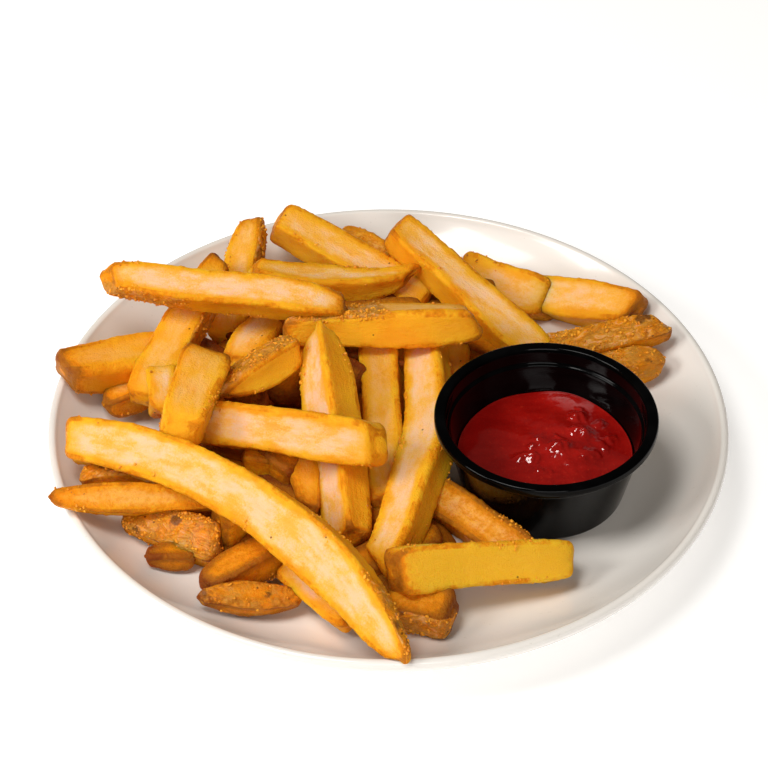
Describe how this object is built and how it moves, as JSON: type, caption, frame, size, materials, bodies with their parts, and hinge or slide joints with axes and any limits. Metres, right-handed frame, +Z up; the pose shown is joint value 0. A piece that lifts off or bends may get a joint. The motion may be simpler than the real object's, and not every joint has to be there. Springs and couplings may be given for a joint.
{
  "type": "french fries portion",
  "caption": "Heap of thick-cut french fries on a white coupe plate with a black portion cup of ketchup.",
  "frame": {"origin": "centre of the plate, on the surface that its foot ring stands on", "axes": "+Z up; +Y from the diner's side to the far side of the plate; +X to the right, where the portion cup stands"},
  "size_m": [0.19, 0.1901, 0.0456],
  "materials": {
    "plate": "smooth warm white glaze",
    "dip_cup": "glossy black moulded polypropylene",
    "ketchup": "wet, glossy, deep red sauce",
    "fries": "fried potato, pale gold faces with browned edges and ends, lightly oily"
  },
  "bodies": {
    "root": {"plate": "plate", "dip_cup": "dip_cup", "ketchup": "ketchup", "fries": "fries"}
  },
  "joints": []
}
